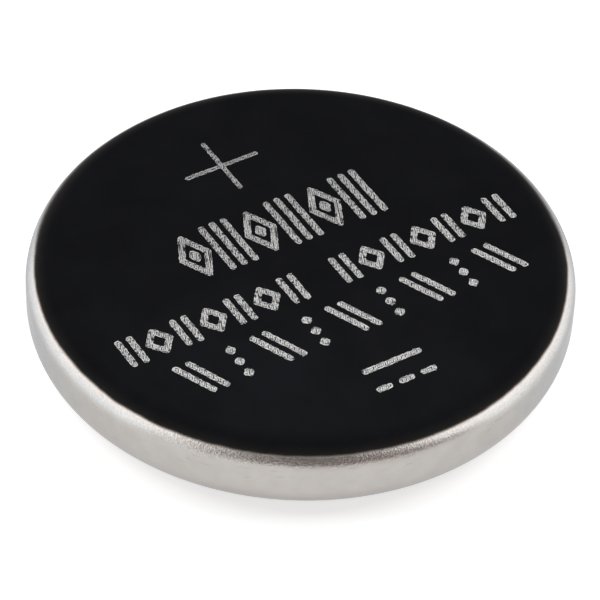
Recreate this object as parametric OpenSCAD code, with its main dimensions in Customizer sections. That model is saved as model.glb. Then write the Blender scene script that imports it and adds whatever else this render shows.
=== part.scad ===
// Lithium coin cell, 20 mm across and 3.2 mm high, lying with its positive face up.
// Lengths are in millimetres. The origin is the centre of the negative face, and +Z points to the positive face.

/* [Cell] */
// Outside diameter of the cell, across the can
cell_d = 20; // [19:0.1:24.5]
// Height of the cell over its two terminals
cell_h = 3.2; // [2.9:0.05:5]

/* [Can] */
// Sheet thickness of the can
can_t = 0.25; // [0.15:0.01:0.35]
// Inside bend radius between the positive face and the wall
shoulder_in_r = 0.75; // [0.4:0.05:0.8]
// Inside bend radius of the crimped edge
crimp_in_r = 0.95; // [0.85:0.05:1.15]
// How far the edge is rolled in past the upright wall, in degrees
crimp_angle = 72; // [55:1:80]
// How far the negative face stands out past the crimp
terminal_step = 0.15; // [0.1:0.05:0.3]

/* [Cap] */
// Sheet thickness of the negative cap
cap_t = 0.25; // [0.15:0.01:0.3]
// Inside bend radius at the rim of the raised terminal
terminal_in_r = 0.05; // [0.02:0.01:0.15]
// Outside radius of the hollow between the terminal and the flange
terminal_root_r = 0.2; // [0.1:0.05:0.25]
// Width of the flat flange round the terminal
flange_w = 0.1; // [0.05:0.05:0.4]

/* [Gasket] */
// Thickness of the gasket where the crimp squeezes it
seal_t = 0.25; // [0.15:0.01:0.3]
// Thickness of the gasket under the rim of the cap
seal_base_t = 0.45; // [0.4:0.05:0.6]
// Thickness of the leg inside the cap
seal_leg_t = 0.4; // [0.25:0.05:0.6]
// Height of the leg inside the cap
seal_leg_h = 1.1; // [1:0.1:1.4]
// Chamfer on the free end of that leg
seal_leg_chamfer = 0.12; // [0.05:0.01:0.15]
// How far the gasket shows past the edge of the can, in degrees of the crimp
seal_show_angle = 13; // [4:1:15]

/* [Electrodes] */
// Thickness of the lithium disc
lithium_h = 0.6; // [0.45:0.05:0.8]
// Gap between the lithium disc and the inside of the terminal
lithium_gap = 0.35; // [0.2:0.05:1]
// Thickness of the separator
separator_h = 0.2; // [0.1:0.05:0.3]
// How far the separator laps over the edge of the lithium disc
separator_lap = 0.4; // [0.2:0.05:0.5]
// Gap between the cathode pellet and the leg of the gasket
pellet_gap = 0.85; // [0.3:0.05:1.5]
// Chamfer on the edges of the pressed pellet
pellet_chamfer = 0.12; // [0.05:0.01:0.3]

/* [Collector grid] */
// Thickness of the expanded metal grid
grid_t = 0.2; // [0.1:0.05:0.3]
// How far the edge of the grid lies inside the edge of the pellet
grid_inset = 0.5; // [0.2:0.1:2]
// Width of the solid rim of the grid
grid_rim_w = 0.35; // [0.2:0.05:1]
// Width of one strand of the grid
strand_w = 0.3; // [0.2:0.05:0.4]
// Length of one diamond of the grid, from knuckle to knuckle
diamond_l = 2.3; // [2.2:0.1:4]
// Width of one diamond of the grid, from strand to strand
diamond_w = 1.3; // [1.2:0.1:3]

/* [Hidden] */
$fn = 128;

// Can
cell_r = cell_d / 2;
shoulder_r = shoulder_in_r + can_t;
crimp_r = crimp_in_r + can_t;
crimp_x = cell_r - crimp_r;
crimp_z = terminal_step + crimp_r;
shoulder_x = cell_r - shoulder_r;
shoulder_z = cell_h - shoulder_r;
floor_z = cell_h - can_t;

// Cap, nested in the crimp with the gasket between them
cap_shoulder_r = crimp_in_r - seal_t;
cap_wall_r = crimp_x + cap_shoulder_r;
cap_rim_z = floor_z - seal_base_t;
flange_z = crimp_z - cap_shoulder_r;
terminal_rim_r = terminal_in_r + cap_t;
terminal_root_x = crimp_x - flange_w;
terminal_wall_r = terminal_root_x - terminal_root_r;
terminal_face_r = terminal_wall_r - terminal_rim_r;
terminal_root_z = flange_z - terminal_root_r;

// Gasket
seal_leg_x = cap_wall_r - cap_t - seal_leg_t;
seal_leg_z = floor_z - seal_leg_h;
seal_lip_angle = crimp_angle + seal_show_angle;

// Stack of electrodes, from the cap up to the can
lithium_r = terminal_wall_r - cap_t - lithium_gap;
separator_r = lithium_r + separator_lap;
separator_z = cap_t + lithium_h;
pellet_r = seal_leg_x - pellet_gap;
pellet_z = separator_z + separator_h;
grid_z = floor_z - grid_t;
grid_r = pellet_r - grid_inset;
grid_open_r = grid_r - grid_rim_w;

// A rectangle of the section, given by its two corners
module strip(x0, z0, x1, z1) {
    translate([x0, z0]) square([x1 - x0, z1 - z0]);
}

// A pie slice that reaches past radius r, from one angle to another up to 90 degrees on
module slice(r, from, to) {
    reach = 2 * r;
    middle = (from + to) / 2;
    polygon([
        [0, 0],
        reach * [cos(from), sin(from)],
        reach * [cos(middle), sin(middle)] / cos((to - from) / 2),
        reach * [cos(to), sin(to)]
    ]);
}

// A bend in a sheet: its centre, outside radius and thickness, and the angles that it runs between
module bend(x, z, r, t, from, to) {
    translate([x, z]) intersection() {
        difference() {
            circle(r);
            circle(r - t);
        }
        slice(r, from, to);
    }
}

// A quarter disc that fills a rounded corner
module corner(x, z, r, from) {
    translate([x, z]) intersection() {
        circle(r);
        slice(r, from, from + 90);
    }
}

// A disc with the same chamfer on both of its edges
module chamfered_disc(r, h, c) {
    rotate_extrude() polygon([[0, 0], [r - c, 0], [r, c], [r, h - c], [r - c, h], [0, h]]);
}

// Drawn steel cup: the positive face, its shoulder, the wall and the edge that is rolled in over the gasket
module positive_can() {
    color([0.78, 0.77, 0.75]) rotate_extrude() {
        strip(0, floor_z, shoulder_x, cell_h);
        bend(shoulder_x, shoulder_z, shoulder_r, can_t, 0, 90);
        strip(cell_r - can_t, crimp_z, cell_r, shoulder_z);
        bend(crimp_x, crimp_z, crimp_r, can_t, -crimp_angle, 0);
    }
}

// Moulded ring: a squeezed lip and outer leg, a base under the rim of the cap and a leg inside the cap
module insulating_gasket() {
    color([0.86, 0.86, 0.82]) rotate_extrude() {
        bend(crimp_x, crimp_z, crimp_in_r, seal_t, -seal_lip_angle, 0);
        strip(cap_wall_r, crimp_z, cell_r - can_t, shoulder_z);
        difference() {
            union() {
                corner(shoulder_x, shoulder_z, shoulder_in_r, 0);
                strip(seal_leg_x, shoulder_z, shoulder_x, floor_z);
            }
            strip(cap_wall_r - cap_t, crimp_z, cap_wall_r, cap_rim_z);
        }
        seal_leg();
    }
}

// The gasket's leg inside the cap, below the level of the can's shoulder
module seal_leg() {
    polygon([
        [seal_leg_x, shoulder_z],
        [seal_leg_x, seal_leg_z + seal_leg_chamfer],
        [seal_leg_x + seal_leg_chamfer, seal_leg_z],
        [seal_leg_x + seal_leg_t - seal_leg_chamfer, seal_leg_z],
        [seal_leg_x + seal_leg_t, seal_leg_z + seal_leg_chamfer],
        [seal_leg_x + seal_leg_t, shoulder_z]
    ]);
}

// Pressed steel cap: the raised negative face, a step to the flange, and a wall that stands in the gasket
module negative_cap() {
    color([0.76, 0.76, 0.75]) rotate_extrude() {
        strip(0, 0, terminal_face_r, cap_t);
        bend(terminal_face_r, terminal_rim_r, terminal_rim_r, cap_t, -90, 0);
        strip(terminal_wall_r - cap_t, terminal_rim_r, terminal_wall_r, terminal_root_z);
        bend(terminal_root_x, terminal_root_z, terminal_root_r + cap_t, cap_t, 90, 180);
        strip(terminal_root_x, flange_z, crimp_x, flange_z + cap_t);
        bend(crimp_x, crimp_z, cap_shoulder_r, cap_t, -90, 0);
        strip(cap_wall_r - cap_t, crimp_z, cap_wall_r, cap_rim_z);
    }
}

// Disc of lithium foil, pressed on to the inside of the cap
module lithium_anode() {
    color([0.62, 0.63, 0.65]) translate([0, 0, cap_t]) cylinder(r = lithium_r, h = lithium_h);
}

// Disc of porous non-woven film between the two electrodes
module separator() {
    color([0.95, 0.95, 0.93]) translate([0, 0, separator_z]) cylinder(r = separator_r, h = separator_h);
}

// Pellet of pressed manganese dioxide and carbon powder
module cathode_pellet() {
    color([0.13, 0.13, 0.14]) translate([0, 0, pellet_z])
        chamfered_disc(pellet_r, grid_z - pellet_z, pellet_chamfer);
}

// One diamond opening of the grid
module diamond_hole() {
    slope = atan2(diamond_w, diamond_l);
    half_l = diamond_l / 2 - strand_w / 2 / sin(slope);
    half_w = diamond_w / 2 - strand_w / 2 / cos(slope);
    linear_extrude(height = 3 * grid_t, center = true)
        polygon([[-half_l, 0], [0, -half_w], [half_l, 0], [0, half_w]]);
}

// Expanded metal disc that carries the current from the pellet to the can
module collector_grid() {
    rows = ceil(2 * grid_open_r / diamond_w);
    columns = ceil(grid_open_r / diamond_l);
    color([0.7, 0.7, 0.69]) translate([0, 0, grid_z]) difference() {
        cylinder(r = grid_r, h = grid_t);
        for (row = [-rows : rows], column = [-columns : columns]) {
            x = (column + (abs(row) % 2) / 2) * diamond_l;
            y = row * diamond_w / 2;
            far_x = abs(x) + diamond_l / 2;
            far_y = abs(y) + diamond_w / 2;
            if (max(norm([far_x, y]), norm([x, far_y])) < grid_open_r)
                translate([x, y, grid_t / 2]) diamond_hole();
        }
    }
}

positive_can();
insulating_gasket();
negative_cap();
lithium_anode();
separator();
cathode_pellet();
collector_grid();
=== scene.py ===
import math

import bpy
from mathutils import Matrix, Vector


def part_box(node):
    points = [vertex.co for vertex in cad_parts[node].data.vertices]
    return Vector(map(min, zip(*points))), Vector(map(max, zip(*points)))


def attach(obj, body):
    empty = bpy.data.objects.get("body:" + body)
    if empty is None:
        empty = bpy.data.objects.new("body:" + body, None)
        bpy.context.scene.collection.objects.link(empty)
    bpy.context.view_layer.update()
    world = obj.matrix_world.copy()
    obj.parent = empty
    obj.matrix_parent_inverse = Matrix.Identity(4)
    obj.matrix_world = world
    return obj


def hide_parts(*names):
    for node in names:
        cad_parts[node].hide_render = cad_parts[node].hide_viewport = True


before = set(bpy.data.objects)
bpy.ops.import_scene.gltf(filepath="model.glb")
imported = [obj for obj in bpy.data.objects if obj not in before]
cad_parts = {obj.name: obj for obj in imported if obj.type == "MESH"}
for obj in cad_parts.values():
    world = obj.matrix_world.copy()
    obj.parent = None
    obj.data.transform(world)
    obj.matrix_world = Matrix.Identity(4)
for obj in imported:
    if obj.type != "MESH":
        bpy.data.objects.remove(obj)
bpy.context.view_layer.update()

scene = bpy.context.scene
mm = 0.001    # sizes are in mm until they reach a mesh
noiseRange = (0.3, 0.7)    # nearly all values of a noise lie in here

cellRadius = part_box("positive_can")[1].x / mm
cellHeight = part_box("positive_can")[1].z / mm


# Helpers for node trees and materials

def addNode(tree, kind, inputs=None, **settings):
    made = tree.nodes.new(kind)
    for key, value in settings.items():
        setattr(made, key, value)
    for key, value in (inputs or {}).items():
        if isinstance(value, bpy.types.NodeSocket):
            tree.links.new(value, made.inputs[key])
        else:
            made.inputs[key].default_value = value
    return made


def doMath(tree, operation, first, second=0.0):
    return addNode(tree, "ShaderNodeMath", {0: first, 1: second}, operation=operation).outputs[0]


def doVector(tree, operation, first, second=(0, 0, 0)):
    made = addNode(tree, "ShaderNodeVectorMath", {0: first, 1: second}, operation=operation)
    return made.outputs["Value" if operation in ("LENGTH", "DOT_PRODUCT") else "Vector"]


def ramp(tree, value, start, end, low=0.0, high=1.0):    # eases from low to high between start and end
    inputs = {0: value, 1: start, 2: end, 3: low, 4: high}
    return addNode(tree, "ShaderNodeMapRange", inputs, interpolation_type="SMOOTHSTEP").outputs[0]


def noise(tree, vector, scale, detail=2.0, roughness=0.5):
    inputs = {"Vector": vector, "Scale": scale, "Detail": detail, "Roughness": roughness}
    return addNode(tree, "ShaderNodeTexNoise", inputs).outputs[0]


def mixColour(tree, factor, first, second):
    made = addNode(tree, "ShaderNodeMix", data_type="RGBA")
    for index, value in ((0, factor), (6, first), (7, second)):
        if isinstance(value, bpy.types.NodeSocket):
            tree.links.new(value, made.inputs[index])
        else:
            made.inputs[index].default_value = value
    return made.outputs[2]


def brighten(tree, colour, level):
    made = addNode(tree, "ShaderNodeVectorMath", {"Scale": level}, operation="SCALE")
    if isinstance(colour, bpy.types.NodeSocket):
        tree.links.new(colour, made.inputs[0])
    else:
        made.inputs[0].default_value = colour[:3]
    return made.outputs["Vector"]


def grey(level):
    return (level, level, level, 1)


def dimmed(colour, level):
    return [part * level for part in colour]


def startMaterial(name):    # an empty material, and its object coordinates in mm
    made = bpy.data.materials.new(name)
    made.use_nodes = True
    tree = made.node_tree
    tree.nodes.clear()
    place = addNode(tree, "ShaderNodeTexCoord").outputs["Object"]
    return made, tree, doVector(tree, "MULTIPLY", place, (1 / mm, 1 / mm, 1 / mm))


def endMaterial(tree, inputs):
    shader = addNode(tree, "ShaderNodeBsdfPrincipled", inputs)
    addNode(tree, "ShaderNodeOutputMaterial", {"Surface": shader.outputs[0]})


def bump(tree, height, depth, **more):    # depth in mm for a height from 0 to 1
    return addNode(tree, "ShaderNodeBump", {"Height": height, "Distance": depth * mm, **more}).outputs[0]


def around(tree, middle, texture, reach):    # a value that a texture moves by half of reach to either side
    return doMath(tree, "ADD", doMath(tree, "MULTIPLY", texture, reach), middle - reach / 2)


def inSector(tree, vector, sector):    # 1 round an azimuth, counted from the camera's, and 0 far off it
    middle, start, full = sector
    level = doVector(tree, "NORMALIZE", doVector(tree, "MULTIPLY", vector, (1, 1, 0)))
    near = doVector(tree, "DOT_PRODUCT", level, directionOf(cameraSet["azimuth"] + middle, 0))
    return ramp(tree, near, math.cos(math.radians(start)), math.cos(math.radians(full)))


# Camera: it looks down on the positive face from the left front

cameraSet = {
    "azimuth": -32.57,         # 0 is the -Y side, 90 the +X side
    "elevation": 43.23,
    "distance": 130,           # to the middle of the cell
    "lens": 213.55,
    "sensor": 36,
    "roll": 2.16,
    "shift": (-0.0008, -0.021),
    "clip": (10, 10000),
}


def directionOf(azimuth, elevation):
    a, e = math.radians(azimuth), math.radians(elevation)
    return Vector((math.sin(a) * math.cos(e), -math.cos(a) * math.cos(e), math.sin(e)))


def addCamera(about):
    back = directionOf(about["azimuth"], about["elevation"])
    level = directionOf(about["azimuth"] + 90, 0)
    lift = back.cross(level)
    roll = math.radians(about["roll"])
    right = level * math.cos(roll) + lift * math.sin(roll)
    up = lift * math.cos(roll) - level * math.sin(roll)
    data = bpy.data.cameras.new("camera")
    data.lens = about["lens"]
    data.sensor_width = about["sensor"]
    data.shift_x, data.shift_y = about["shift"]
    data.clip_start, data.clip_end = (reach * mm for reach in about["clip"])
    made = bpy.data.objects.new("camera", data)
    scene.collection.objects.link(made)
    middle = Vector((0, 0, cellHeight / 2 * mm))
    turn = Matrix((right, up, back)).transposed().to_4x4()
    made.matrix_world = Matrix.Translation(middle + back * about["distance"] * mm) @ turn
    scene.camera = made


addCamera(cameraSet)
print("camera set")


# Studio: pale surroundings with a dark side towards the camera, soft boxes and a pale floor

studio = {
    "surround": 1.0,
    "castShare": 0.25,               # how much of it lights matt things, next to the fill lights
    "darkSide": 0.21,                # level of the side where the camera stands
    "darkSector": (5, 40, 14),       # azimuth from the camera's, and how far off it starts and is full
    "darkTop": (0.80, 0.66),         # sine of the elevation where it starts and where it is full
    "card": (0.26, 0.23, 0.225, 1),    # a dark card that stands up beyond the front of the table
    "cardSector": (18, 46, 22),
    "cardTop": (0.26, 0.12),
    "horizon": (-0.1, 0),            # castShare holds above it, and the full surround below
    "floorSize": 6000,
    "floor": (0.64, 0.61),           # its own colour, and what the camera sees on top of that
    "mirroredFloor": (0.4, 0.74),    # the same as the metal sees it
    "floorWhite": (60, 200),         # the camera sees it turn white here, far outside the picture
    "paperScale": 0.8,
    "paperLevels": (0.99, 1),
}


def addWorld(about):
    world = bpy.data.worlds.new("studio")
    scene.world = world
    world.use_nodes = True
    tree = world.node_tree
    tree.nodes.clear()
    direction = addNode(tree, "ShaderNodeTexCoord").outputs["Generated"]
    rise = addNode(tree, "ShaderNodeSeparateXYZ", {0: direction}).outputs["Z"]

    def patch(sector, top):    # inside a sector and below its top
        return doMath(tree, "MULTIPLY", inSector(tree, direction, sector), ramp(tree, rise, *top))

    seen = mixColour(tree, patch(about["darkSector"], about["darkTop"]),
                     grey(about["surround"]), grey(about["darkSide"]))
    seen = mixColour(tree, patch(about["cardSector"], about["cardTop"]), seen, about["card"])
    path = addNode(tree, "ShaderNodeLightPath")
    above = doMath(tree, "MULTIPLY", path.outputs["Is Diffuse Ray"], ramp(tree, rise, *about["horizon"]))
    share = ramp(tree, above, 0, 1, 1, about["castShare"])
    lit = addNode(tree, "ShaderNodeBackground", {"Color": seen, "Strength": share})
    white = addNode(tree, "ShaderNodeBackground", {"Color": grey(1)})
    clear = doMath(tree, "MAXIMUM", path.outputs["Is Camera Ray"], path.outputs["Is Transmission Ray"])
    both = addNode(tree, "ShaderNodeMixShader", {0: clear, 1: lit.outputs[0], 2: white.outputs[0]})
    addNode(tree, "ShaderNodeOutputWorld", {"Surface": both.outputs[0]})


reflectionPatches = {    # painted reflections: patches on the floor which only the metal sees, dark in front and bright at the sides; they start faint and are full further out
    "front": {"colour": (0.29, 0.19, 0.17, 1), "sector": (14, 50, 26), "start": (21, 40)},
    "frontRight": {"colour": (0.29, 0.19, 0.17, 1), "sector": (28, 34, 12), "start": (12, 28)},
    "left": {"colour": (1.50, 1.60, 1.70, 1), "sector": (-88, 52, 34), "start": (12, 19)},
    "right": {"colour": (1.55, 1.61, 1.66, 1), "sector": (96, 46, 30), "start": (12, 19)},
}

softBoxes = {    # turn is the azimuth, counted from the camera's; a level of 1 is white
    "leftBox": {"turn": -88, "elevation": 22, "size": (500, 200), "level": 0.85, "mirrored": True},
    "rightBox": {"turn": 92, "elevation": 22, "size": (500, 200), "level": 0.85, "mirrored": True},
    "leftFill": {"turn": -104, "elevation": 48, "size": (180, 180), "level": 3.6, "mirrored": False},
    "rightFill": {"turn": 111, "elevation": 48, "size": (180, 180), "level": 3.6, "mirrored": False},
}

boxSetup = {
    "distance": 250,
    "colour": (0.90, 0.96, 1.04),
}


def addSoftBox(name, box, about):    # the metal mirrors the boxes, and the fills give the soft shadow
    width, height = (size * mm for size in box["size"])
    data = bpy.data.lights.new(name, "AREA")
    data.shape = "RECTANGLE"
    data.size, data.size_y = width, height
    data.energy = box["level"] * math.pi * width * height
    data.color = about["colour"] if box["mirrored"] else (1, 1, 1)
    made = bpy.data.objects.new(data.name, data)
    away = directionOf(cameraSet["azimuth"] + box["turn"], box["elevation"])
    made.location = away * about["distance"] * mm
    made.rotation_euler = away.to_track_quat("Z", "Y").to_euler()
    made.visible_camera = False
    made.visible_glossy = box["mirrored"]
    made.visible_diffuse = not box["mirrored"]
    scene.collection.objects.link(made)


def paintFloor(about):
    made, tree, place = startMaterial("paleFloor")
    paper = noise(tree, place, about["paperScale"], 3)
    away = doVector(tree, "LENGTH", place)
    path = addNode(tree, "ShaderNodeLightPath")
    mirrored = path.outputs["Is Glossy Ray"]
    straight = doMath(tree, "MAXIMUM", path.outputs["Is Camera Ray"], path.outputs["Is Transmission Ray"])
    seen = doMath(tree, "MAXIMUM", straight, mirrored)
    own, lift = (ramp(tree, mirrored, 0, 1, *pair) for pair in zip(about["floor"], about["mirroredFloor"]))
    own = doMath(tree, "MULTIPLY", own, ramp(tree, paper, 0, 1, *about["paperLevels"]))
    whiter = doMath(tree, "MULTIPLY", straight, ramp(tree, away, *about["floorWhite"]))
    lift = doMath(tree, "MAXIMUM", lift, whiter)
    cast = addNode(tree, "ShaderNodeBsdfDiffuse", {"Color": own})
    lifted = addNode(tree, "ShaderNodeEmission", {"Strength": doMath(tree, "MULTIPLY", seen, lift)})
    whole = addNode(tree, "ShaderNodeAddShader", {0: cast.outputs[0], 1: lifted.outputs[0]})
    # painted reflections: each patch glows on the floor for glossy rays only
    for card in reflectionPatches.values():
        onPatch = ramp(tree, away, *card["start"])
        onPatch = doMath(tree, "MULTIPLY", onPatch, inSector(tree, place, card["sector"]))
        paintedReflection = addNode(tree, "ShaderNodeEmission", {"Color": card["colour"]})
        whole = addNode(tree, "ShaderNodeMixShader", {
            0: doMath(tree, "MULTIPLY", onPatch, mirrored), 1: whole.outputs[0], 2: paintedReflection.outputs[0]})
    addNode(tree, "ShaderNodeOutputMaterial", {"Surface": whole.outputs[0]})
    return made


def addFloor(about):
    half = about["floorSize"] / 2 * mm
    corners = [(-half, -half, 0), (half, -half, 0), (half, half, 0), (-half, half, 0)]
    mesh = bpy.data.meshes.new("floor")
    mesh.from_pydata(corners, [], [(0, 1, 2, 3)])
    mesh.materials.append(paintFloor(about))
    made = bpy.data.objects.new("floor", mesh)
    scene.collection.objects.link(made)


addWorld(studio)
for name, box in softBoxes.items():
    addSoftBox(name, box, boxSetup)
addFloor(studio)
scene.view_settings.view_transform = "Standard"
print("studio set")


# Finishes of the shells

canFinish = {
    "steel": (0.51, 0.484, 0.456, 1),
    "steelRoughness": 0.24,
    "grazing": (0.76, 0.79, 0.83, 1),    # keeps the steel from turning white where it is seen edge-on
    "mottle": 0.93,
    "mottleScale": 1.4,
    "mottleRange": (0.25, 0.75),
    "tarnish": (0.525, 0.472, 0.430, 1),    # a warm tint next to the black and low on the wall
    "tarnishReach": 18,         # in degrees of tilt
    "tarnishHeight": (0.5, 1.5),
    "lowTarnish": 0.85,
    "underTarnish": (0.15, 0.5, 0.6),    # less of it under the crimp
    "black": (0.0054, 0.0056, 0.0067, 1),
    "blackRoughness": 0.4,
    "blackIndex": 1.06,         # a matt black, with hardly any gloss
    "blackEdge": 48,            # tilt of the shoulder in degrees where the black stops
    "blackOffset": (-0.118, -0.187),
    "blackSoft": 4.5,
    "waver": 5,                 # of the black's edge, in degrees
    "waverScale": 1.3,
    "paintedPaleBlack": (0.0130, 0.0127, 0.0125, 1),    # painted light: the black is paler at its edge, where it turns round the shoulder
    "paintedPaleReach": 30,
    "paintedFrontLift": (3, 13, 1.42),    # painted light: the black is made paler round the worn place at the front
    "smudgeScale": 0.35,
    "smudgeLevels": (0.85, 1.15),
    "dust": (0.058, 0.044, 0.035, 1),    # brown, where the black runs out
    "dustReach": 12,
    "dustFineness": 1.5,        # next to the grain
    "dustRange": (0.5, 0.7),
    "dustLevels": (0.2, 1),
    "shadedSpots": (    # where the black runs out most softly, and over what reach and how much painted shade darkens the steel there
        {"place": (9.7, -0.3, 3.0), "reach": (1.5, 4.8), "soft": 11, "shift": -2.5, "dimming": (2.5, 6.0, 0.60)},
        {"place": (-5.8, 8.15, 3.0), "reach": (1.0, 4.5), "soft": 14, "shift": 8, "dimming": (2.0, 6.0, 0.76)},
    ),
    "grainSize": 0.07,
    "grainDepth": 0.017,
    "grainLevels": (0.78, 1.20),    # how dark and how bright the grain of the shoulder is
    "grainTilt": (10, 26),
    "worn": (-5.4, -8.4, 2.8),    # the shoulder is grainiest here
    "wornReach": (2.4, 7.2),
    "wornLevels": (1, 0.3),
    "drawMarkSize": 0.16,
    "drawMarkStretch": (1, 1, 0.08),
    "drawMarkDepth": 0.0003,
    "drawMarkRoughness": 0.04,
    "scratchScale": 1.6,
    "scratchStretch": (1, 1, 7),
    "scratchRange": (0.62, 0.72),
    "scratchHeight": (1.5, 2.0),
    "scratchLevel": 0.87,
}

canSection = {
    "thickness": 0.25,
    "shoulderInside": 0.75,
    "crimpInside": 0.95,
    "crimpAngle": 72,
    "crimpLift": 0.15,          # the height that a full quarter roll would come down to
    "rimRound": 0.04,
}

shoulderRadius = canSection["shoulderInside"] + canSection["thickness"]
shoulderX = cellRadius - shoulderRadius
shoulderZ = cellHeight - shoulderRadius


def paintCan(about):
    made, tree, place = startMaterial("nickelledSteelWithBlackFace")
    flat = doVector(tree, "MULTIPLY", place, (1, 1, 0))
    radius = doVector(tree, "LENGTH", doVector(tree, "SUBTRACT", flat, (*about["blackOffset"], 0)))
    rise = addNode(tree, "ShaderNodeSeparateXYZ", {0: place}).outputs["Z"]
    tilt = doMath(tree, "ARCTAN2", doMath(tree, "SUBTRACT", rise, shoulderZ),
                  doMath(tree, "SUBTRACT", radius, shoulderX))

    # where the black runs out, most softly in the shaded spots, which also paint shade on the steel
    waver = doMath(tree, "SUBTRACT", noise(tree, place, about["waverScale"], 3), 0.5)
    waver = doMath(tree, "MULTIPLY", waver, math.radians(about["waver"]))
    past = doMath(tree, "SUBTRACT", doMath(tree, "SUBTRACT", tilt, math.radians(about["blackEdge"])), waver)
    soft, late, dimming = math.radians(about["blackSoft"]), past, 1.0
    for shadedSpot in about["shadedSpots"]:
        off = doVector(tree, "LENGTH", doVector(tree, "SUBTRACT", place, shadedSpot["place"]))
        inside = ramp(tree, off, *shadedSpot["reach"], 1, 0)
        wider = math.radians(shadedSpot["soft"] - about["blackSoft"])
        soft = doMath(tree, "ADD", soft, doMath(tree, "MULTIPLY", inside, wider))
        late = doMath(tree, "ADD", late, doMath(tree, "MULTIPLY", inside, math.radians(shadedSpot["shift"])))
        start, end, level = shadedSpot["dimming"]
        dimming = doMath(tree, "MULTIPLY", dimming, ramp(tree, off, start, end, level, 1))
    black = ramp(tree, late, doMath(tree, "MULTIPLY", soft, -1.0), soft)

    # patterns: grain and dust, marks of the drawing die, mottle, and wear that fades away from one place
    grain = noise(tree, place, 1 / about["grainSize"], 2, 0.6)
    flecks = noise(tree, place, about["dustFineness"] / about["grainSize"], 1)
    flecks = ramp(tree, flecks, *about["dustRange"], *about["dustLevels"])
    dust = doMath(tree, "MULTIPLY", flecks, ramp(tree, past, 0, math.radians(about["dustReach"]), 1, 0))
    upright = doVector(tree, "MULTIPLY", place, about["drawMarkStretch"])
    drawMarks = noise(tree, upright, 1 / about["drawMarkSize"], 3, 0.6)
    mottle = ramp(tree, noise(tree, place, about["mottleScale"], 3), *about["mottleRange"])
    worn = doVector(tree, "LENGTH", doVector(tree, "SUBTRACT", place, about["worn"]))
    onShoulder = doMath(tree, "MULTIPLY", ramp(tree, tilt, *(math.radians(a) for a in about["grainTilt"])),
                        ramp(tree, worn, *about["wornReach"], *about["wornLevels"]))

    # the bare steel
    steel = mixColour(tree, mottle, dimmed(about["steel"], about["mottle"]), about["steel"])
    under = doMath(tree, "MULTIPLY", ramp(tree, rise, *about["tarnishHeight"], about["lowTarnish"], 0),
                   ramp(tree, rise, *about["underTarnish"]))
    warm = doMath(tree, "MAXIMUM", ramp(tree, past, math.radians(-about["tarnishReach"]), 0), under)
    steel = mixColour(tree, warm, steel, about["tarnish"])
    specks = ramp(tree, grain, *noiseRange, *about["grainLevels"])
    specks = doMath(tree, "MULTIPLY", onShoulder, doMath(tree, "SUBTRACT", specks, 1.0))
    specks = doMath(tree, "ADD", 1.0, specks)
    scratches = noise(tree, doVector(tree, "MULTIPLY", place, about["scratchStretch"]), about["scratchScale"])
    scratches = doMath(tree, "MULTIPLY", ramp(tree, scratches, *about["scratchRange"]),
                       ramp(tree, rise, *about["scratchHeight"]))
    # the steel is darkened by the painted shade of the spots and by the scratches
    dimming = doMath(tree, "MULTIPLY", dimming, ramp(tree, scratches, 0, 1, 1, about["scratchLevel"]))
    steel = brighten(tree, steel, doMath(tree, "MULTIPLY", specks, dimming))

    # the black face
    smudgesAndPaintedLift = noise(tree, place, about["smudgeScale"], 4, 0.6)
    smudgesAndPaintedLift = ramp(tree, smudgesAndPaintedLift, *noiseRange, *about["smudgeLevels"])
    # painted light: the smudged black is lifted near the front
    start, end, level = about["paintedFrontLift"]
    smudgesAndPaintedLift = doMath(tree, "MULTIPLY", smudgesAndPaintedLift, ramp(tree, worn, start, end, level, 1))
    # painted light: the black turns paler towards its edge
    face = mixColour(tree, ramp(tree, past, 0, math.radians(about["paintedPaleReach"]), 1, 0),
                     about["black"], about["paintedPaleBlack"])
    face = mixColour(tree, dust, brighten(tree, face, smudgesAndPaintedLift), about["dust"])

    colour = mixColour(tree, black, steel, face)
    roughness = ramp(tree, black, 0, 1, about["steelRoughness"], about["blackRoughness"])
    streaks = doMath(tree, "MULTIPLY", drawMarks, about["drawMarkRoughness"])
    roughness = doMath(tree, "ADD", roughness, streaks)
    grainBump = bump(tree, doMath(tree, "MULTIPLY", grain, onShoulder), about["grainDepth"])
    allBumps = bump(tree, drawMarks, about["drawMarkDepth"], Normal=grainBump)
    endMaterial(tree, {
        "Base Color": colour, "Metallic": doMath(tree, "SUBTRACT", 1.0, black), "Roughness": roughness,
        "IOR": about["blackIndex"], "Specular Tint": about["grazing"], "Normal": allBumps})
    return made


capFinish = {
    "steel": (0.55, 0.54, 0.53, 1),
    "cloud": 0.93,
    "cloudScale": 0.5,
    "roughness": 0.27,
    "brushSize": 0.04,
    "brushStretch": (0.04, 1, 1),    # the sheet was brushed along X
    "brushDepth": 0.0016,
    "brushLevels": (0.9, 1.06),
    "brushRoughness": 0.12,
}


def paintCap(about):
    made, tree, place = startMaterial("brushedNickel")
    along = doVector(tree, "MULTIPLY", place, about["brushStretch"])
    brush = noise(tree, along, 1 / about["brushSize"], 4, 0.65)
    cloud = noise(tree, place, about["cloudScale"], 4)
    colour = mixColour(tree, cloud, dimmed(about["steel"], about["cloud"]), about["steel"])
    colour = brighten(tree, colour, ramp(tree, brush, *noiseRange, *about["brushLevels"]))
    roughness = around(tree, about["roughness"], brush, about["brushRoughness"])
    endMaterial(tree, {"Base Color": colour, "Metallic": 1.0, "Roughness": roughness,
                       "Normal": bump(tree, brush, about["brushDepth"])})
    return made


sealFinish = {
    "colour": (0.78, 0.78, 0.73, 1),
    "cloud": 0.94,
    "cloudScale": 2.2,
    "roughness": 0.42,
    "clear": 0.12,
    "index": 1.49,
    "skinScale": 16,
    "skinDepth": 0.003,
    "skinRoughness": 0.1,
}


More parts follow.
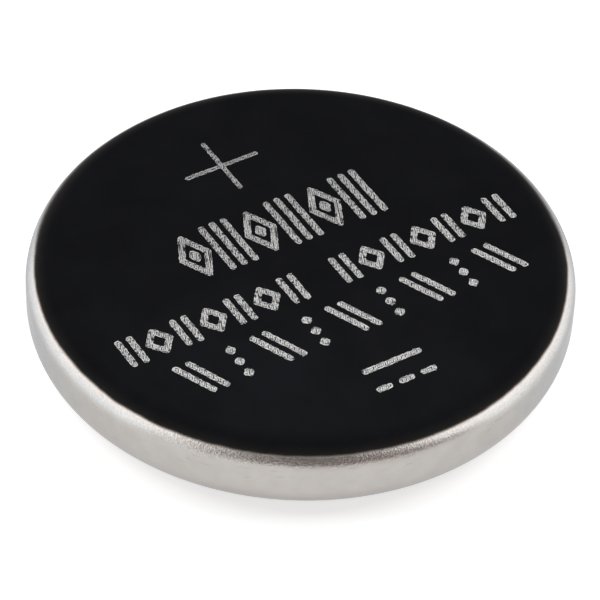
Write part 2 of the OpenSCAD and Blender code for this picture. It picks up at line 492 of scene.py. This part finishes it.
def paintSeal(about):
    made, tree, place = startMaterial("milkyPolypropylene")
    cloud = noise(tree, place, about["cloudScale"], 3)
    skin = noise(tree, place, about["skinScale"], 2)
    colour = mixColour(tree, cloud, dimmed(about["colour"], about["cloud"]), about["colour"])
    roughness = around(tree, about["roughness"], skin, about["skinRoughness"])
    endMaterial(tree, {"Base Color": colour, "Roughness": roughness, "Transmission Weight": about["clear"],
                       "IOR": about["index"], "Normal": bump(tree, skin, about["skinDepth"])})
    return made


# Shells: each is a section turned round the axis, whose corners are rounded by their own radius

turning = {
    "turnSteps": 256,
    "bendSteps": 24,
    "sharpAngle": 40,
    "mergeReach": 0.0001,       # welds the poles
}


def addInputs(tree, *inputs):    # the group's geometry comes first
    tree.interface.new_socket("Geometry", in_out="OUTPUT", socket_type="NodeSocketGeometry")
    for name, kind in (("Geometry", "Geometry"),) + inputs:
        tree.interface.new_socket(name, in_out="INPUT", socket_type="NodeSocket" + kind)
    return addNode(tree, "NodeGroupInput").outputs


def endTree(tree, geometry, finish):
    whole = addNode(tree, "GeometryNodeRealizeInstances", {"Geometry": geometry})
    painted = addNode(tree, "GeometryNodeSetMaterial", {"Geometry": whole.outputs[0], "Material": finish})
    addNode(tree, "NodeGroupOutput", {"Geometry": painted.outputs[0]})


def makeTurnedShell():
    tree = bpy.data.node_groups.new("turnedShell", "GeometryNodeTree")
    given = addInputs(tree, ("Turn Steps", "Int"), ("Bend Steps", "Int"), ("Path Radius", "Float"),
                      ("Sharp Angle", "Float"), ("Finish", "Material"))
    line = addNode(tree, "GeometryNodeMeshToCurve", {"Mesh": given["Geometry"]})
    radius = addNode(tree, "GeometryNodeInputNamedAttribute", {"Name": "bend"}, data_type="FLOAT")
    bent = addNode(tree, "GeometryNodeFilletCurve", {
        "Curve": line.outputs[0], "Count": given["Bend Steps"], "Radius": radius.outputs[0]}, mode="POLY")
    inwards = addNode(tree, "ShaderNodeCombineXYZ", {
        "X": doMath(tree, "MULTIPLY", given["Path Radius"], -1.0)})
    profile = addNode(tree, "GeometryNodeTransform", {
        "Geometry": bent.outputs[0], "Translation": inwards.outputs[0], "Scale": (1, -1, 1)})
    circle = addNode(tree, "GeometryNodeCurvePrimitiveCircle", {
        "Resolution": given["Turn Steps"], "Radius": given["Path Radius"]})
    upright = addNode(tree, "GeometryNodeSetCurveNormal", {"Curve": circle.outputs[0]}, mode="Z_UP")
    turned = addNode(tree, "GeometryNodeCurveToMesh", {
        "Curve": upright.outputs[0], "Profile Curve": profile.outputs[0]})
    closed = addNode(tree, "GeometryNodeMergeByDistance", {
        "Geometry": turned.outputs[0], "Distance": turning["mergeReach"] * mm})
    smooth = addNode(tree, "GeometryNodeSetShadeSmooth", {"Geometry": closed.outputs[0]}, domain="FACE")
    fold = addNode(tree, "GeometryNodeInputMeshEdgeAngle").outputs["Unsigned Angle"]
    sharp = doMath(tree, "GREATER_THAN", fold, given["Sharp Angle"])
    creased = addNode(tree, "GeometryNodeSetShadeSmooth", {
        "Geometry": smooth.outputs[0], "Selection": sharp, "Shade Smooth": False}, domain="EDGE")
    endTree(tree, creased.outputs[0], given["Finish"])
    return tree


def growPiece(name, mesh, tree, inputs, evenShading=False):
    made = bpy.data.objects.new(name, mesh)
    scene.collection.objects.link(made)
    grower = made.modifiers.new("grower", "NODES")
    grower.node_group = tree
    sockets = {item.name: item.identifier for item in tree.interface.items_tree if item.in_out == "INPUT"}
    for key, value in inputs.items():
        grower[sockets[key]] = value
    if evenShading:    # flats keep their own normals up to the start of a bend
        made.modifiers.new("evenShading", "WEIGHTED_NORMAL").keep_sharp = True
    depsgraph = bpy.context.evaluated_depsgraph_get()
    plain = bpy.data.meshes.new_from_object(made.evaluated_get(depsgraph), depsgraph=depsgraph)
    made.modifiers.clear()
    made.data = plain
    return made


def turnShell(name, section, finish, closed=False):    # section: each corner's radius, height and bend
    mesh = bpy.data.meshes.new(name)
    edges = [(i, i + 1) for i in range(len(section) - 1)] + ([(len(section) - 1, 0)] if closed else [])
    mesh.from_pydata([(x * mm, z * mm, 0) for x, z, bend in section], edges, [])
    bends = mesh.attributes.new("bend", "FLOAT", "POINT")
    bends.data.foreach_set("value", [bend * mm for x, z, bend in section])
    return growPiece(name, mesh, turnedShell, {
        "Turn Steps": turning["turnSteps"], "Bend Steps": turning["bendSteps"],
        "Path Radius": cellRadius * mm, "Sharp Angle": math.radians(turning["sharpAngle"]),
        "Finish": finish}, evenShading=True)


def rolledEnd(x, z, radius, angle, spare=0.0):    # corner and end of a bend that starts upright at x, z
    a = math.radians(angle)
    reach = radius * math.tan(a / 2)
    corner = (x, z - reach, radius)
    run = reach + spare
    return corner, (x - run * math.sin(a), z - reach - run * math.cos(a))


markProud = 0.003    # how far the etched marks stand out from the face
crimpX = cellRadius - canSection["crimpInside"] - canSection["thickness"]
crimpZ = canSection["crimpLift"] + canSection["crimpInside"] + canSection["thickness"]
floorZ = cellHeight - canSection["thickness"]
turnedShell = makeTurnedShell()


def makeCan(about):
    wall = cellRadius - about["thickness"]
    rim = about["rimRound"]
    angle = about["crimpAngle"] - math.degrees(rim / about["crimpInside"])
    outerCorner, outerEnd = rolledEnd(cellRadius, crimpZ, cellRadius - crimpX, angle, rim)
    innerCorner, innerEnd = rolledEnd(wall, crimpZ, wall - crimpX, angle, rim)
    section = [
        (0, cellHeight - markProud, 0),
        (cellRadius, cellHeight - markProud, shoulderRadius),
        outerCorner,
        (*outerEnd, rim),
        (*innerEnd, rim),
        innerCorner,
        (wall, floorZ, about["shoulderInside"]),
        (0, floorZ, 0),
    ]
    made = turnShell("can_shell", section, paintCan(canFinish))
    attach(made, "root")
    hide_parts("positive_can")


capSection = {
    "thickness": 0.25,
    "terminalInside": 0.05,
    "terminalRoot": 0.2,
    "flange": 0.1,
    "rimRound": 0.04,
    "rimDepth": 0.45,           # from the can's inside face down to the cap's rim
}

sealSection = {
    "thickness": 0.25,
    "leg": 0.4,
    "legHeight": 1.1,
    "legRound": 0.12,
    "showAngle": 13,            # how far the lip shows past the can's edge
    "lipRound": 0.06,
}

capShoulder = canSection["crimpInside"] - sealSection["thickness"]
capWall = crimpX + capShoulder
capRim = floorZ - capSection["rimDepth"]


def makeCap(about):
    sheet, rim = about["thickness"], about["rimRound"]
    flange = crimpZ - capShoulder
    terminal = crimpX - about["flange"] - about["terminalRoot"]
    section = [
        (0, sheet, 0),
        (terminal - sheet, sheet, about["terminalInside"]),
        (terminal - sheet, flange + sheet, about["terminalRoot"] + sheet),
        (capWall - sheet, flange + sheet, capShoulder - sheet),
        (capWall - sheet, capRim, rim),
        (capWall, capRim, rim),
        (capWall, flange, capShoulder),
        (terminal, flange, about["terminalRoot"]),
        (terminal, 0, about["terminalInside"] + sheet),
        (0, 0, 0),
    ]
    made = turnShell("cap_shell", section, paintCap(capFinish))
    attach(made, "root")
    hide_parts("negative_cap")


def makeSeal(about):
    wall = cellRadius - canSection["thickness"]
    groove = capWall - capSection["thickness"]
    leg = groove - about["leg"]
    lip = about["lipRound"]
    angle = canSection["crimpAngle"] + about["showAngle"] - math.degrees(lip / capShoulder)
    outerCorner, outerEnd = rolledEnd(wall, crimpZ, wall - crimpX, angle, lip)
    innerCorner, innerEnd = rolledEnd(capWall, crimpZ, capShoulder, angle, lip)
    section = [
        (leg, floorZ, 0),
        (wall, floorZ, canSection["shoulderInside"]),
        outerCorner,
        (*outerEnd, lip),
        (*innerEnd, lip),
        innerCorner,
        (capWall, capRim, 0),
        (groove, capRim, 0),
        (groove, floorZ - about["legHeight"], about["legRound"]),
        (leg, floorZ - about["legHeight"], about["legRound"]),
    ]
    made = turnShell("gasket_ring", section, paintSeal(sealFinish), closed=True)
    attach(made, "root")
    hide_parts("insulating_gasket")


makeCan(canSection)
makeCap(capSection)
makeSeal(sealSection)
print("shells turned")


# Marks: strokes hatched on the face by a fine beam, from outlines that are drawn here in mm

marks = {
    "stroke": 0.19,             # between the middles of the two edge lines
    "cornerRound": 0.07,
    "lineWidth": 0.055,
    "linePitch": 0.075,
    "lineStep": 0.02,
    "lineAngle": 67,
    "lineJitter": 0.01,
    "endJitter": 0.06,
    "edgeStep": 0.07,
    "edgeJitter": 0.017,        # the edge lines waver by this much from step to step
    "fieldSize": (24, 24),
    "depth": 0.012,
    "seed": 7,
    "plus": {"middle": (-0.06, 5.66), "size": (3.05, 2.85), "stroke": 0.125},
    "current": {"middle": (-0.07, -6.75), "size": (2.4, 1.0), "dash": 0.24, "dashStep": 0.38},
    "rows": (
        {"x": (-4.07, 4.19), "y": (0.6, 3.1), "count": 6, "motifs": ("nested", "threeBars"), "skip": None},
        {"x": (-8.33, 8.2), "y": (-2.05, -0.65), "count": 15, "motifs": ("twoBars", "lozenge"), "skip": 7},
        {"x": (-7.06, 6.99), "y": (-4.5, -2.75), "count": 9, "motifs": ("slants", "beads"), "skip": None},
    ),
}


def bar(x, y, length, width, angle=0):    # a closed outline
    along = Vector((math.cos(math.radians(angle)), math.sin(math.radians(angle)))) * length / 2
    across = Vector((-along.y, along.x)).normalized() * width / 2
    middle = Vector((x, y))
    return [middle - along - across, middle + along - across,
            middle + along + across, middle - along + across]


def bars(x, y, length, stroke, angle, spread, count):    # side by side along the row
    return [bar(x + spread * (i - (count - 1) / 2), y, length, stroke, angle) for i in range(count)]


def lozenge(x, y, width, height):
    return [Vector((x + a * width / 2, y + b * height / 2)) for a, b in ((1, 0), (0, 1), (-1, 0), (0, -1))]


def lozengeRing(x, y, width, height, stroke):    # two outlines, one inside the other
    slope = math.atan2(height, width)
    inner = (width - 2 * stroke / math.sin(slope), height - 2 * stroke / math.cos(slope))
    return [lozenge(x, y, width, height), lozenge(x, y, *inner)]


def plusSign(about):
    (x, y), (width, height) = about["middle"], about["size"]
    s, w, h = about["stroke"] / 2, width / 2, height / 2
    quarter = [(w, s), (s, s), (s, h)]
    half = quarter + [(-a, b) for a, b in reversed(quarter)]
    return [Vector((x + a, y + b)) for a, b in half + [(-a, -b) for a, b in half]]


def directCurrent(about, stroke):    # a long bar over three dashes
    (x, y), (width, height) = about["middle"], about["size"]
    dashes = bars(x, y - height / 2, width * about["dash"], stroke, 0, width * about["dashStep"], 3)
    return [bar(x, y + height / 2, width, stroke)] + dashes


motifs = {    # widths and spreads are shares of the row's step, and heights and places of its height
    "nested": {"width": 0.92, "core": (0.28, 0.3)},
    "lozenge": {"width": 0.96},
    "twoBars": {"count": 2, "spread": 0.42, "lean": 90, "trim": 0},
    "threeBars": {"count": 3, "spread": 0.34, "lean": 90, "trim": 0},
    "slants": {"count": 2, "spread": 0.34, "lean": 114, "trim": 0.4},    # trimmed by a share of the stroke
    "beads": {"places": (-0.36, 0, 0.36), "size": (2, 2.2)},    # a bead's size is counted in strokes
}


def motif(kind, x, y, step, height, stroke):
    about = motifs[kind]
    if "count" in about:
        length = (height - stroke * about["trim"]) / math.sin(math.radians(about["lean"]))
        return bars(x, y, length, stroke, about["lean"], step * about["spread"], about["count"])
    if "places" in about:
        wide, tall = (stroke * share for share in about["size"])
        return [lozenge(x, y + place * height, wide, tall) for place in about["places"]]
    outlines = lozengeRing(x, y, step * about["width"], height, stroke)
    if "core" in about:
        wide, tall = about["core"]
        outlines.append(lozenge(x, y, step * wide, height * tall))
    return outlines


def drawMarks(about):
    stroke = about["stroke"]
    outlines = [plusSign(about["plus"])] + directCurrent(about["current"], stroke)
    for row in about["rows"]:
        (left, right), (low, high) = row["x"], row["y"]
        step = (right - left) / row["count"]
        for i in range(row["count"]):
            if i != row["skip"]:
                kind = row["motifs"][i % len(row["motifs"])]
                outlines += motif(kind, left + step * (i + 0.5), (low + high) / 2, step, high - low, stroke)
    return outlines


def outlineMesh(name, outlines):
    points, edges = [], []
    for outline in outlines:
        first, count = len(points), len(outline)
        points += [(p.x * mm, p.y * mm, 0) for p in outline]
        edges += [(first + i, first + (i + 1) % count) for i in range(count)]
    mesh = bpy.data.meshes.new(name)
    mesh.from_pydata(points, edges, [])
    return mesh


def makeEtching():
    tree = bpy.data.node_groups.new("etching", "GeometryNodeTree")
    given = addInputs(tree, ("Corner Round", "Float"), ("Line Width", "Float"), ("Line Pitch", "Float"),
                      ("Line Step", "Float"), ("Line Angle", "Float"), ("Line Jitter", "Float"),
                      ("End Jitter", "Float"), ("Edge Step", "Float"), ("Edge Jitter", "Float"),
                      ("Lines", "Int"), ("Steps", "Int"), ("Depth", "Float"), ("Top", "Float"),
                      ("Seed", "Int"), ("Finish", "Material"))

    def half(value):
        return doMath(tree, "MULTIPLY", value, 0.5)

    def vector(**parts):
        return addNode(tree, "ShaderNodeCombineXYZ", parts).outputs[0]

    def jitter(reach, step):    # a random length up to reach to either side
        return addNode(tree, "FunctionNodeRandomValue", {
            2: doMath(tree, "MULTIPLY", reach, -1.0), 3: reach,
            8: doMath(tree, "ADD", given["Seed"], step)}).outputs[1]

    # outlines, and the areas inside them
    loops = addNode(tree, "GeometryNodeMeshToCurve", {"Mesh": given["Geometry"]})
    rounded = addNode(tree, "GeometryNodeFilletCurve", {
        "Curve": loops.outputs[0], "Count": 3, "Radius": given["Corner Round"],
        "Limit Radius": True}, mode="POLY")
    areas = addNode(tree, "GeometryNodeFillCurve", {"Curve": rounded.outputs[0]}, mode="TRIANGLES")

    # a field of beam lines, each moved a little off its place, turned, and cut where no area lies under it
    width = doMath(tree, "MULTIPLY", given["Line Pitch"], given["Lines"])
    length = doMath(tree, "MULTIPLY", given["Line Step"], given["Steps"])
    starts = addNode(tree, "GeometryNodeMeshLine", {
        "Count": given["Lines"],
        "Start Location": vector(X=half(doMath(tree, "MULTIPLY", length, -1.0)),
                                 Y=half(doMath(tree, "MULTIPLY", width, -1.0))),
        "Offset": vector(Y=given["Line Pitch"])}, mode="OFFSET")
    moved = addNode(tree, "GeometryNodeSetPosition", {
        "Geometry": starts.outputs[0], "Offset": vector(Y=jitter(given["Line Jitter"], 0.0))})
    line = addNode(tree, "GeometryNodeMeshLine", {
        "Count": given["Steps"], "Offset": vector(X=given["Line Step"])}, mode="OFFSET")
    lines = addNode(tree, "GeometryNodeInstanceOnPoints", {
        "Points": moved.outputs[0], "Instance": line.outputs[0]})
    field = addNode(tree, "GeometryNodeRealizeInstances", {"Geometry": lines.outputs[0]})
    turned = addNode(tree, "GeometryNodeTransform", {
        "Geometry": field.outputs[0], "Rotation": vector(Z=given["Line Angle"])})

    # each point looks down on the areas from far above
    lifted = addNode(tree, "ShaderNodeVectorMath", {
        0: addNode(tree, "GeometryNodeInputPosition").outputs[0], 1: (0, 0, 1)}, operation="ADD")
    hit = addNode(tree, "GeometryNodeRaycast", {
        "Target Geometry": areas.outputs[0], "Source Position": lifted.outputs[0],
        "Ray Direction": (0, 0, -1), "Ray Length": 2.0})
    missed = doMath(tree, "SUBTRACT", 1.0, hit.outputs["Is Hit"])
    cut = addNode(tree, "GeometryNodeDeleteGeometry", {
        "Geometry": turned.outputs[0], "Selection": missed}, domain="POINT", mode="ALL")
    runs = addNode(tree, "GeometryNodeMeshToCurve", {"Mesh": cut.outputs[0]})
    straight = addNode(tree, "GeometryNodeResampleCurve", {
        "Curve": runs.outputs[0], "Count": 2}, mode="COUNT")
    slip = jitter(given["End Jitter"], 1.0)    # of the ends, roughly along their lines
    ragged = addNode(tree, "GeometryNodeSetPosition", {
        "Geometry": straight.outputs[0], "Offset": vector(X=doMath(tree, "MULTIPLY", slip, 0.4), Y=slip)})

    # the edge lines waver
    stepped = addNode(tree, "GeometryNodeResampleCurve", {
        "Curve": rounded.outputs[0], "Length": given["Edge Step"]}, mode="LENGTH")
    wavering = addNode(tree, "GeometryNodeSetPosition", {
        "Geometry": stepped.outputs[0],
        "Offset": vector(X=jitter(given["Edge Jitter"], 2.0), Y=jitter(given["Edge Jitter"], 3.0))})

    # both become low ridges with a flat top
    ridge = addNode(tree, "GeometryNodeCurvePrimitiveQuadrilateral", {
        "Width": given["Line Width"], "Height": given["Depth"]})

    def raiseRidge(curve):
        upright = addNode(tree, "GeometryNodeSetCurveNormal", {"Curve": curve}, mode="Z_UP")
        return addNode(tree, "GeometryNodeCurveToMesh", {
            "Curve": upright.outputs[0], "Profile Curve": ridge.outputs[0], "Fill Caps": True}).outputs[0]

    joined = addNode(tree, "GeometryNodeJoinGeometry")
    tree.links.new(raiseRidge(wavering.outputs[0]), joined.inputs[0])
    tree.links.new(raiseRidge(ragged.outputs[0]), joined.inputs[0])
    sunk = doMath(tree, "SUBTRACT", given["Top"], half(given["Depth"]))
    placed = addNode(tree, "GeometryNodeTransform", {
        "Geometry": joined.outputs[0], "Translation": vector(Z=sunk)})
    flat = addNode(tree, "GeometryNodeSetShadeSmooth", {
        "Geometry": placed.outputs[0], "Shade Smooth": False}, domain="FACE")
    endTree(tree, flat.outputs[0], given["Finish"])
    return tree


etchFinish = {
    "colour": (0.66, 0.65, 0.64, 1),
    "roughness": 0.55,
    "metallic": 0.7,
    "paintedLightLevels": (0.96, 0.56),     # painted light: the marks are brighter near the front edge of the face and darker near the back edge
    "paintedLightReach": (-7.0, 7.0),
    "spots": (0.55, 1.43),
    "spotScale": 17,
    "spotDepth": 0.004,
}


def paintEtching(about):
    made, tree, place = startMaterial("etchedSteel")
    away = addNode(tree, "ShaderNodeSeparateXYZ", {0: place}).outputs["Y"]
    # painted light: the marks grow darker from the front of the face to the back
    level = ramp(tree, away, *about["paintedLightReach"], *about["paintedLightLevels"])
    speckle = noise(tree, place, about["spotScale"], 3, 0.7)
    spots = ramp(tree, speckle, *noiseRange, *about["spots"])
    colour = brighten(tree, about["colour"], doMath(tree, "MULTIPLY", level, spots))
    endMaterial(tree, {"Base Color": colour, "Metallic": about["metallic"],
                       "Roughness": about["roughness"], "Normal": bump(tree, speckle, about["spotDepth"])})
    return made


def makeMarks(about):
    wide, tall = about["fieldSize"]
    made = growPiece("etched_marks", outlineMesh("etched_marks", drawMarks(about)), makeEtching(), {
        "Corner Round": about["cornerRound"] * mm, "Line Width": about["lineWidth"] * mm,
        "Line Pitch": about["linePitch"] * mm, "Line Step": about["lineStep"] * mm,
        "Line Angle": math.radians(about["lineAngle"]), "Line Jitter": about["lineJitter"] * mm,
        "End Jitter": about["endJitter"] * mm,
        "Edge Step": about["edgeStep"] * mm, "Edge Jitter": about["edgeJitter"] * mm,
        "Lines": round(tall / about["linePitch"]), "Steps": round(wide / about["lineStep"]),
        "Depth": about["depth"] * mm, "Top": cellHeight * mm, "Seed": about["seed"],
        "Finish": paintEtching(etchFinish)})
    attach(made, "root")


makeMarks(marks)
print("marks etched")


# Inner pieces, which the closed shells hide

def dress(node, finish):
    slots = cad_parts[node].data.materials
    slots.clear()
    slots.append(finish)


lithiumFinish = {
    "clean": (0.62, 0.62, 0.63, 1),
    "tarnish": (0.40, 0.39, 0.42, 1),
    "tarnishScale": 0.6,
    "tarnishRange": (0.35, 0.75),
    "roughness": (0.34, 0.55),
    "rollScale": 9,
    "rollStretch": (0.08, 1, 1),    # the foil was rolled along X
    "rollDepth": 0.006,
}


def paintLithium(about):
    made, tree, place = startMaterial("lithiumFoil")
    along = doVector(tree, "MULTIPLY", place, about["rollStretch"])
    rolled = noise(tree, along, about["rollScale"], 4, 0.6)
    tarnish = ramp(tree, noise(tree, place, about["tarnishScale"], 4), *about["tarnishRange"])
    colour = mixColour(tree, tarnish, about["clean"], about["tarnish"])
    roughness = ramp(tree, tarnish, 0, 1, *about["roughness"])
    endMaterial(tree, {"Base Color": colour, "Metallic": 1.0, "Roughness": roughness,
                       "Normal": bump(tree, rolled, about["rollDepth"])})
    return made


separatorFinish = {
    "thin": (0.78, 0.78, 0.75, 1),
    "thick": (0.90, 0.90, 0.88, 1),
    "roughness": 0.75,
    "scatter": (0.15, 0.3),     # how much, and how far in mm
    "fibreScale": 18,
    "fibreStretch": 0.25,
    "fibreDepth": 0.02,
}


def paintSeparator(about):
    made, tree, place = startMaterial("nonWovenPolypropylene")
    fibres, crossed = (
        noise(tree, doVector(tree, "MULTIPLY", place, stretch), about["fibreScale"], 4, 0.7)
        for stretch in ((1, about["fibreStretch"], 1), (about["fibreStretch"], 1, 1)))
    web = doMath(tree, "MULTIPLY", doMath(tree, "ADD", fibres, crossed), 0.5)
    colour = mixColour(tree, web, about["thin"], about["thick"])
    amount, reach = about["scatter"]
    endMaterial(tree, {"Base Color": colour, "Roughness": about["roughness"], "Subsurface Weight": amount,
                       "Subsurface Scale": reach * mm, "Normal": bump(tree, web, about["fibreDepth"])})
    return made


pelletFinish = {
    "carbon": (0.018, 0.018, 0.020, 1),
    "oxide": (0.10, 0.10, 0.11, 1),
    "cloudScale": 1.4,
    "powderScale": 22,
    "powderRange": (0.2, 0.8),
    "powderDepth": 0.02,
    "roughness": (0.6, 0.85),
}


def paintPellet(about):
    made, tree, place = startMaterial("pressedOxide")
    powder = noise(tree, place, about["powderScale"], 4, 0.75)
    cloud = noise(tree, place, about["cloudScale"], 3)
    colour = mixColour(tree, doMath(tree, "MULTIPLY", powder, cloud), about["carbon"], about["oxide"])
    roughness = ramp(tree, powder, *about["powderRange"], *about["roughness"])
    endMaterial(tree, {"Base Color": colour, "Roughness": roughness,
                       "Normal": bump(tree, powder, about["powderDepth"])})
    return made


gridFinish = {
    "stained": (0.40, 0.39, 0.38, 1),
    "clean": (0.54, 0.53, 0.51, 1),
    "stainScale": 1.2,
    "grainScale": 12,
    "grainRange": (0.2, 0.8),
    "grainDepth": 0.006,
    "roughness": (0.32, 0.48),
}


def paintGrid(about):
    made, tree, place = startMaterial("expandedSteel")
    grain = noise(tree, place, about["grainScale"], 3, 0.6)
    stain = noise(tree, place, about["stainScale"], 3)
    colour = mixColour(tree, stain, about["stained"], about["clean"])
    roughness = ramp(tree, grain, *about["grainRange"], *about["roughness"])
    endMaterial(tree, {"Base Color": colour, "Metallic": 1.0, "Roughness": roughness,
                       "Normal": bump(tree, grain, about["grainDepth"])})
    return made


dress("lithium_anode", paintLithium(lithiumFinish))
dress("separator", paintSeparator(separatorFinish))
dress("cathode_pellet", paintPellet(pelletFinish))
dress("collector_grid", paintGrid(gridFinish))
print("inner pieces dressed")
